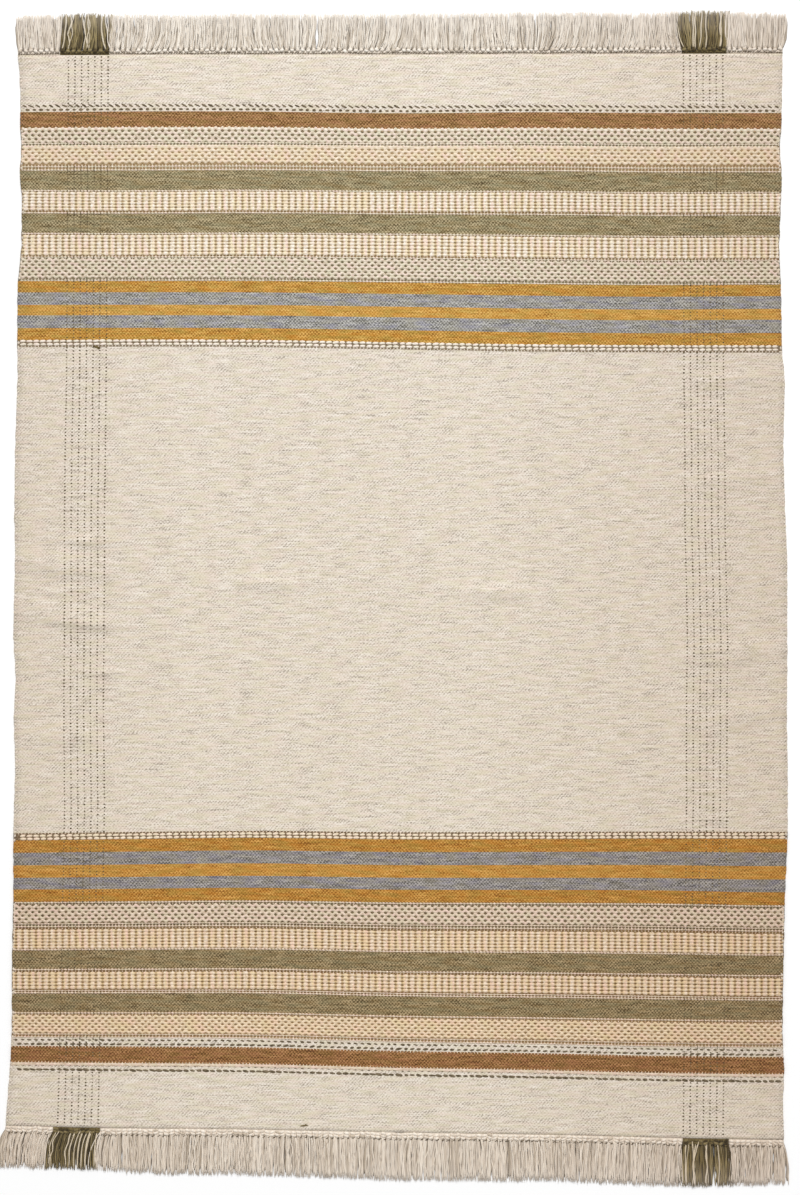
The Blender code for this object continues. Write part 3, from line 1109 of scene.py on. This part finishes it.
def tube(path, half_widths, half_depths, sides=6):
    """A closed tube with flattened sections that stand square to its path."""
    count = len(path)
    ahead = np.gradient(path, axis=0)
    ahead /= np.linalg.norm(ahead, axis=1)[:, None]
    aside = np.cross(ahead, (0.0, 0.0, 1.0))
    aside /= np.linalg.norm(aside, axis=1)[:, None]
    above = np.cross(aside, ahead)
    angles = np.arange(sides) * FULL_TURN / sides
    out = np.cos(angles) * np.asarray(half_widths)[:, None]
    lift = np.sin(angles) * np.asarray(half_depths)[:, None]
    points = path[:, None] + out[..., None] * aside[:, None] + lift[..., None] * above[:, None]
    start = np.arange(count - 1)[:, None] * sides
    side = np.arange(sides)
    faces = np.stack([
        start + side, start + (side + 1) % sides,
        start + sides + (side + 1) % sides, start + sides + side,
    ], axis=-1).reshape(-1, 4).tolist()
    faces.append(list(range(sides))[::-1])
    faces.append([(count - 1) * sides + place for place in range(sides)])
    return points.reshape(-1, 3), faces


def bunch_yarns(chance, x, side, pitch, yarn):
    """The yarns of one bunch, from its knot to the tips: points, faces and kind for each.
    The first few are flat and shaded, and lie under the others."""
    root = float(end_line(x, side))
    start = root + side * KNOT_PLACE[side]
    reach = abs(tip_line(x, side) - start)
    to_corner = min(x - float(left_edge(root)), float(right_edge(root)) - x)
    splay = CORNER_SPLAY[side] * max(0.0, 1 - to_corner / CORNER_REACH) ** 2 * math.copysign(1, x)
    slow, quick = LEAN_WAVES
    lean = 0.6 * math.sin(x / slow + 2.3 * side) + 0.4 * math.sin(x / quick + 2)
    lean = lean * BUNCH_LEAN[side] + COMMON_LEAN[side] + splay + chance.normal(0, LEAN_SPREAD)
    for end, middle, lean_reach, extra in EXTRA_LEANS:
        share = min(abs(x / MM - middle) / lean_reach, 1)
        lean += (end == side) * extra * MM * math.cos(share * math.pi / 2) ** 2
    share = np.linspace(0, 1, YARN_SECTIONS)
    ease = 1 - (1 - share) ** 3
    narrowing = chance.uniform(*NARROWING)
    shortening = chance.uniform(0, SHORTENING)
    yarns = []
    kinds = ["under"] * UNDER_YARNS + ["plain"] * YARNS_A_BUNCH
    kinds += ["stray"] * (chance.uniform() < STRAY_SHARE)
    kinds += ["bright"] * (int(chance.choice(3, p=ECRU_ON_OLIVE)) if yarn == "olive" else 0)
    for number, kind in enumerate(kinds):
        if kind == "under":
            place = (number + 0.5) / UNDER_YARNS * 2 - 1
        elif kind == "plain":
            place = (number - UNDER_YARNS + 0.5) / YARNS_A_BUNCH * 2 - 1
        else:
            place = chance.uniform(-1, 1)
        spread = UNDER_SPREAD if kind == "under" else narrowing
        tip = place * pitch * spread + lean + chance.normal(0, STRAYS[kind] * MM)
        waves = chance.normal(0, YARN_WAVE) * np.minimum(share * 3, 1) * np.sin(
            math.pi * (share * chance.uniform(1.5, 4.0) + chance.uniform(0, 2))
        )
        curl = chance.normal(0, TIP_CURL) * share ** 3
        across = x + place * ROOT_SPREAD * (1 - ease) + tip * ease + waves + curl
        slit, half_slit, slit_length = SLIT
        if side > 0 and abs(x - slit) < 2 * pitch:
            opened = half_slit * np.sin(np.minimum(share / slit_length, 1) * math.pi)
            which_side = math.copysign(1, x + place * MM - slit)
            across = slit + which_side * np.hypot(across - slit, opened)
        length = reach - shortening + chance.uniform(*YARN_LENGTHS) * MM
        if kind == "under":
            half_width, half_depth, level = UNDER_HALF_WIDTH, UNDER_HALF_DEPTH, UNDER_LEVEL
            length -= UNDER_SHORTER
        else:
            half_width, half_depth = YARN_HALF_WIDTH, YARN_HALF_DEPTH
            level = chance.choice(LEVELS[:3]) if kind == "plain" else LEVELS[3]
            half_width *= chance.uniform(*BRIGHT_WIDTHS) if kind == "bright" else 1
        above = level + (ROOT_LEVEL - level) * (1 - np.minimum(share * 7, 1))
        path = np.stack([across, start + side * (length * share + 1 * MM), above], axis=1)
        thick = chance.uniform(*YARN_SIZES) * (
            1 + THICK_AND_THIN * np.sin(share * chance.uniform(9, 15) + chance.uniform(0, 6))
        )
        thick[-2:] *= (0.85, 0.4)
        yarns.append((tube(path, half_width * thick, half_depth * thick, 4), kind))
    return yarns


def knot(chance, x, side):
    """A bunch's knot, as two turns of yarn side by side."""
    middle = float(end_line(x, side)) + side * KNOT_PLACE[side]
    middle += chance.normal(0, KNOT_WANDER_ALONG)
    x = x + chance.normal(0, KNOT_WANDER_ACROSS)
    lean = chance.choice((-1, 1))
    parts = []
    for radius, half_width, slant, shift, rise in KNOT_TURNS[side]:
        angle = np.linspace(0, math.pi, KNOT_SECTIONS)
        across = -np.cos(angle) * KNOT_HALF_WIDTH[side] * half_width * chance.uniform(*KNOT_WIDTHS)
        path = np.stack([
            x + across,
            middle + side * shift * MM + across * lean * slant * chance.uniform(*KNOT_SLANTS),
            (KNOT_FOOT + np.sin(angle) * (rise - KNOT_FOOT)) * MM,
        ], axis=1)
        radii = KNOT_RADIUS[side] * radius * (0.3 + 0.7 * np.sin(angle))
        radii = radii * chance.uniform(*KNOT_SIZES)
        parts.append(tube(path, radii, radii))
    return parts


def warp_strip(start, stop, side):
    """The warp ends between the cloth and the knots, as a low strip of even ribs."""
    count = round((stop - start) / RIB_PITCH)
    x = np.linspace(start + STRIP_GAP, stop - STRIP_GAP, count)
    ribs = STRIP_HEIGHT * (1 + RIB_SHARE * np.cos(np.arange(count) * math.pi))
    near = end_line(x, side) + side * STRIP_GAP
    far = near + side * STRIP_REACH[side]
    low = np.full(count, LIFT_OFF_FLOOR)
    high = ribs + NEAR_HEIGHT[side] - STRIP_HEIGHT
    points = np.stack([
        np.stack([x, y, z], axis=1)
        for y, z in ((near, low), (near, high), (far, ribs), (far, low))
    ], axis=1)
    faces = strip_faces(count, 4, closed=True).tolist()
    last = count * 4 - 1
    faces += [[0, 1, 2, 3], [last, last - 1, last - 2, last - 3]]
    return points.reshape(-1, 3), faces


def shadow_thread(chance, start, stop, side):
    """A thin dark thread along the ends, which is painted shadow of the knots. It dips between the
    warps, so that it shows as a row of short uneven strokes."""
    count = round((stop - start) / (SHADOW_THREAD_WAVE[side] / 4))
    x = np.linspace(start + 1 * MM, stop - 1 * MM, count)
    turn = FULL_TURN * x / SHADOW_THREAD_WAVE[side]
    sway = SHADOW_THREAD_SWING[side] * np.sin(turn) + SHADOW_THREAD_DRIFT * np.sin(x / SHADOW_THREAD_DRIFT_LENGTH + side)
    y = end_line(x, side) + side * SHADOW_THREAD_PLACE[side] + sway
    z = SHADOW_THREAD_HEIGHT[side] + SHADOW_THREAD_DIP * np.cos(turn)
    radii = SHADOW_THREAD_RADIUS * (0.7 + 0.3 * np.cos(turn)) * chance.uniform(*SHADOW_THREAD_SIZES, count)
    return tube(np.stack([x, y, z], axis=1), radii, radii)


# Plied cotton yarn gives the eye soft matt cords with slanting ply lines, a little lighter or
# darker from one to the next.
PLY_WIDTH = 3.0 * MM
PLY_LENGTH = 4.5 * MM
TIP_PALENESS = 0.6
LOOSE_FIBRES = "F8F1E8"
# Distances in metres from the middle of the kilim between which tips get loose and roots shaded.
LOOSE_TIPS = (1.175, 1.225)
SHADED_ROOTS = (1.135, 1.185)
# How dark the olive yarns are just beyond their knots, as painted shadow of the knots,
# and how pale at their tips.
OLIVE_SHADES = (0.66, 0.2)


def plied_cotton(name, shades, root_shade=1.0, tip_paleness=TIP_PALENESS):
    material, shader, place = new_material(name, roughness=0.9, sheen=0.12)
    x, y, _ = add_node(material, "SeparateXYZ", {}, {"Vector": place}).node.outputs
    colour = toned(material, place, shades, (3.5, 25), (0.3, 0.7))
    # The tips have come untwisted, and their loose fibres are paler.
    out = add_node(material, "Math", {"operation": "ABSOLUTE"}, {0: y})
    loose = add_node(
        material, "MapRange", {},
        {"Value": out, "From Min": LOOSE_TIPS[0], "From Max": LOOSE_TIPS[1],
         "To Max": tip_paleness},
    )
    colour = add_node(
        material, "Mix", {"data_type": "RGBA"},
        {0: loose, 6: colour, 7: linear(LOOSE_FIBRES)}, 2,
    )
    # Just beyond the knots the colour darkens, as painted shadow of the knots.
    shade = add_node(
        material, "MapRange", {},
        {"Value": out, "From Min": SHADED_ROOTS[0], "From Max": SHADED_ROOTS[1],
         "To Min": root_shade, "To Max": 1.0},
    )
    colour = add_node(
        material, "VectorMath", {"operation": "SCALE"}, {"Vector": colour, "Scale": shade}
    )
    colour = deepened(material, place, colour, "FEFAF6")
    plies = wave(material, (x, FULL_TURN / PLY_WIDTH), (y, FULL_TURN / PLY_LENGTH))
    return surfaced(material, shader, colour, plies, 0.4)


# The shaded ecru yarn and both under yarns are darker copies of their yarn that paint the shade between
# and under the yarns, and the dark threads are painted shadow of the knots.
YARNS = {
    "ecru": [
        plied_cotton("fringe_pale_ecru_yarn", ("EFE5D7", "FDF6EB")),
        plied_cotton("fringe_ecru_yarn", ("E0D4C5", "F1E7D9")),
        plied_cotton("fringe_shaded_ecru_yarn", ("C9BCAA", "DDD1C0")),
        plied_cotton("fringe_painted_shade_under_ecru_yarn", ("B3A694", "CABDAB")),
        plied_cotton("fringe_painted_shadow_thread", ("574B39", "7A6C57")),
    ],
    "olive": [
        plied_cotton("fringe_olive_yarn", ("8C7D50", "B9A779"), *OLIVE_SHADES),
        plied_cotton("fringe_mid_olive_yarn", ("73633A", "978658"), *OLIVE_SHADES),
        plied_cotton("fringe_dark_olive_yarn", ("493B1D", "6C5C37"), *OLIVE_SHADES),
        plied_cotton("fringe_painted_shade_under_olive_yarn", ("3C3014", "574928"), *OLIVE_SHADES),
        plied_cotton("fringe_painted_shadow_olive_thread", ("2A200D", "41351B")),
        plied_cotton("fringe_strand_ecru_yarn", ("D3C5A8", "EEE2CB")),
    ],
}
YARN_SHARES = {"ecru": (0.42, 0.4, 0.18), "olive": (0.36, 0.36, 0.28)}
KNOT_SHARES = {
    ("ecru", 1): (0.5, 0.3, 0.2), ("ecru", -1): (0.75, 0.18, 0.07), ("olive", 1): (0.4, 0.3, 0.3),
    ("olive", -1): (0.4, 0.3, 0.3),
}
UNDER, SHADOW_THREAD_YARN, BRIGHT = 3, 4, 5


def make_fringe(node, start, stop, bunches, side, yarn):
    chance = np.random.default_rng(sum(map(ord, node)))
    pitch = (stop - start) / bunches * MM
    materials = YARNS[yarn]
    pieces = [
        (warp_strip(start * MM, stop * MM, side), 1),
        (shadow_thread(chance, start * MM, stop * MM, side), SHADOW_THREAD_YARN),
    ]
    for number in range(bunches):
        x = start * MM + (number + 0.5) * pitch
        # Some bunches are paler and others take more of the shaded yarn, which is painted shade.
        shares = np.array(YARN_SHARES[yarn]) * chance.uniform(0.25, 1.0, 3) ** 1.5
        shares /= shares.sum()
        for part, kind in bunch_yarns(chance, x, side, pitch, yarn):
            index = {"under": UNDER, "bright": BRIGHT}.get(kind)
            if index is None:
                index = int(chance.choice(3, p=shares))
            pieces.append((part, index))
        for part in knot(chance, x, side):
            pieces.append((part, int(chance.choice(3, p=KNOT_SHARES[yarn, side]))))
    points, faces = join_parts([part for part, _ in pieces])
    points[:, 2] = np.maximum(points[:, 2], 0.05 * MM)
    indices = [index for part, index in pieces for _ in part[1]]
    piece = make_mesh(f"{node}_yarns", points, faces, materials, indices)
    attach(piece, "root")
    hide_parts(node)
    return piece


fringe = [make_fringe(*group) for group in GROUPS]


# The room
# The kilim lies on a plain pale floor and is seen from straight above. A large soft light stands
# beyond its top end, so that knots and folds are shaded on the side towards the bottom end.
PHOTO_SIZE = (800, 1195)
PIXEL = 2.09 * MM
AIM = (9.4 * MM, 3.15 * MM)
LENS_MM = 85
SENSOR_MM = 36

floor_mesh = bpy.data.meshes.new("floor")
floor_half = 60.0
floor_mesh.from_pydata(
    [(-floor_half, -floor_half, 0), (floor_half, -floor_half, 0), (floor_half, floor_half, 0),
     (-floor_half, floor_half, 0)], [], [(0, 1, 2, 3)]
)
floor = bpy.data.objects.new("floor", floor_mesh)
floor.location.z = -0.2 * MM
bpy.context.scene.collection.objects.link(floor)
paint, paint_shader, _ = new_material("floor_white_paint", roughness=0.9, sheen=0.0)
paint_shader.inputs["Base Color"].default_value = linear("FEFEFE")
floor_mesh.materials.append(paint)

sky = bpy.data.worlds.new("soft_studio")
sky.use_nodes = True
sky.node_tree.nodes["Background"].inputs["Color"].default_value = (1.0, 1.0, 1.0, 1.0)
sky.node_tree.nodes["Background"].inputs["Strength"].default_value = 0.56
bpy.context.scene.world = sky

lamp_data = bpy.data.lights.new("soft_box", "AREA")
lamp_data.shape = "RECTANGLE"
lamp_data.size = 7.0
lamp_data.size_y = 5.0
lamp_data.energy = 2190
lamp = bpy.data.objects.new("soft_box", lamp_data)
lamp.location = (1.0, 12.0, 12.5)
lamp.rotation_euler = (math.radians(-43.6), math.radians(3.9), 0.0)
bpy.context.scene.collection.objects.link(lamp)

camera_data = bpy.data.cameras.new("camera")
camera_data.sensor_fit = "VERTICAL"
camera_data.sensor_width = SENSOR_MM
camera_data.sensor_height = SENSOR_MM
camera_data.lens = LENS_MM
camera = bpy.data.objects.new("camera", camera_data)
camera.location = (*AIM, PHOTO_SIZE[1] * PIXEL * LENS_MM / SENSOR_MM)
bpy.context.scene.collection.objects.link(camera)
bpy.context.scene.camera = camera
bpy.context.scene.view_settings.view_transform = "Standard"
